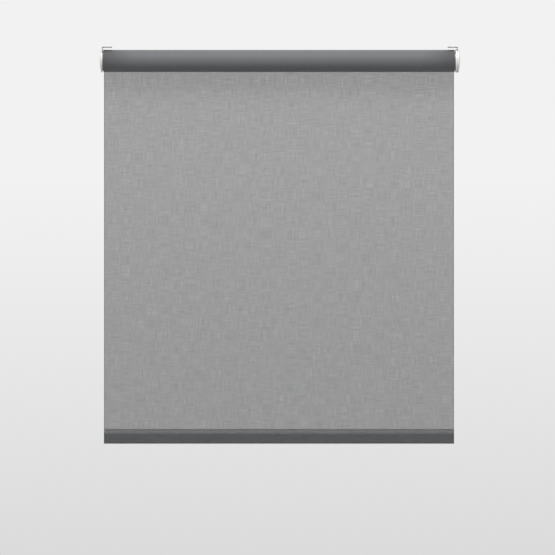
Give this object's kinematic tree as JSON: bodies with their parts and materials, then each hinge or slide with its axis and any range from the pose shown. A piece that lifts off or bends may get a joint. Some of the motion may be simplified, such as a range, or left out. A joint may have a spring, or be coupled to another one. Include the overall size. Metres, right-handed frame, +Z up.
{
  "type": "roller blind",
  "caption": "Chainless sheer roller blind with a battery motor inside its tube, two top or back fixing brackets and a weighted fabric hem.",
  "frame": {"origin": "middle of the left bracket's top fixing face, in the soffit plane straight above the tube's axis", "axes": "+X along the tube to the right as seen from the room, +Y back towards the window, +Z up"},
  "size_m": [0.845, 0.062, 0.9339],
  "materials": {
    "voile": "semi-sheer linen-look polyester voile, mid grey",
    "bracket_steel": "white powder coat, satin",
    "white_plastic": "white moulded ABS, satin",
    "tube_aluminium": "mill-finish extruded aluminium",
    "spring_steel": "zinc-plated steel",
    "bronze": "sintered bronze",
    "black_plastic": "black moulded nylon",
    "cream_nylon": "natural nylon",
    "board_green": "green solder mask",
    "cell_sleeve": "blue shrink sleeve",
    "white_tape": "white double-sided tape"
  },
  "bodies": {
    "brackets": {"left_bracket": "bracket_steel", "right_bracket": "bracket_steel", "left_bracket_cover": "white_plastic", "right_bracket_cover": "white_plastic", "motor_head": "white_plastic", "motor_clip": "spring_steel", "charge_socket": "spring_steel", "motor_tube": "tube_aluminium", "gear_case": "black_plastic", "output_bush": "bronze", "motor_plate": "tube_aluminium", "motor_screw_1": "spring_steel", "motor_screw_2": "spring_steel", "motor_can": "spring_steel", "motor_end_bell": "black_plastic", "magnet_upper": "black_plastic", "magnet_lower": "black_plastic", "battery_tray": "black_plastic", "battery_cell_1": "cell_sleeve", "battery_cell_2": "cell_sleeve", "battery_cell_3": "cell_sleeve", "control_board": "board_green"},
    "roller": {"roller_tube": "tube_aluminium", "fixing_tape": "white_tape", "fabric_roll": "voile", "crown_ring": "white_plastic", "drive_wheel": "white_plastic", "drive_circlip": "spring_steel", "planet_carrier": "spring_steel", "idle_plug": "white_plastic", "idle_bush": "cream_nylon", "idle_spring_cap": "cream_nylon"},
    "hem": {"fabric_panel": "voile", "hem_pocket": "voile", "bottom_bar": "tube_aluminium", "bar_cap_left": "black_plastic", "bar_cap_right": "black_plastic"},
    "motor_rotor": {"armature": "bronze", "sun_pinion": "bronze"},
    "planet_1": {"planet_gear_1": "cream_nylon"},
    "planet_2": {"planet_gear_2": "cream_nylon"},
    "planet_3": {"planet_gear_3": "cream_nylon"},
    "idle_pin": {"idle_pin": "spring_steel", "idle_spring": "spring_steel"},
    "set_button": {"set_button": "black_plastic"}
  },
  "joints": [
    {"name": "roller_spin", "type": "hinge", "parent": "brackets", "child": "roller", "pos_m": [0, 0, -0.034], "axis": [1, 0, 0], "range_deg": [-370, 1677]},
    {"name": "hem_lift", "type": "slide", "parent": "brackets", "child": "hem", "axis": [0, 0, 1], "range_m": [-0.17, 0.77], "deforming": ["fabric_panel"]},
    {"name": "rotor_spin", "type": "hinge", "parent": "brackets", "child": "motor_rotor", "pos_m": [0.4, 0, -0.034], "axis": [1, 0, 0], "range_deg": [-1851, 8386]},
    {"name": "planet_1_spin", "type": "hinge", "parent": "roller", "child": "planet_1", "pos_m": [0.4, 0.00901, -0.034], "axis": [1, 0, 0], "range_deg": [-4473, 988]},
    {"name": "planet_2_spin", "type": "hinge", "parent": "roller", "child": "planet_2", "pos_m": [0.4, -0.00451, -0.0262], "axis": [1, 0, 0], "range_deg": [-4473, 988]},
    {"name": "planet_3_spin", "type": "hinge", "parent": "roller", "child": "planet_3", "pos_m": [0.4, -0.00451, -0.0418], "axis": [1, 0, 0], "range_deg": [-4473, 988]},
    {"name": "idle_pin_retract", "type": "slide", "parent": "brackets", "child": "idle_pin", "axis": [1, 0, 0], "range_m": [0, 0.006], "stiffness_N_per_m": 600, "springref_m": -0.006, "deforming": ["idle_spring"]},
    {"name": "set_button_press", "type": "slide", "parent": "brackets", "child": "set_button", "axis": [0, 0, 1], "range_m": [0, 0.0005], "stiffness_N_per_m": 1500, "springref_m": -0.0004}
  ],
  "couplings": [
    {"joint": "hem_lift", "follows": "roller_spin", "m_per_rad": 0.0263},
    {"joint": "rotor_spin", "follows": "roller_spin", "ratio": 5},
    {"joint": "planet_1_spin", "follows": "roller_spin", "ratio": -2.6667},
    {"joint": "planet_2_spin", "follows": "roller_spin", "ratio": -2.6667},
    {"joint": "planet_3_spin", "follows": "roller_spin", "ratio": -2.6667}
  ]
}
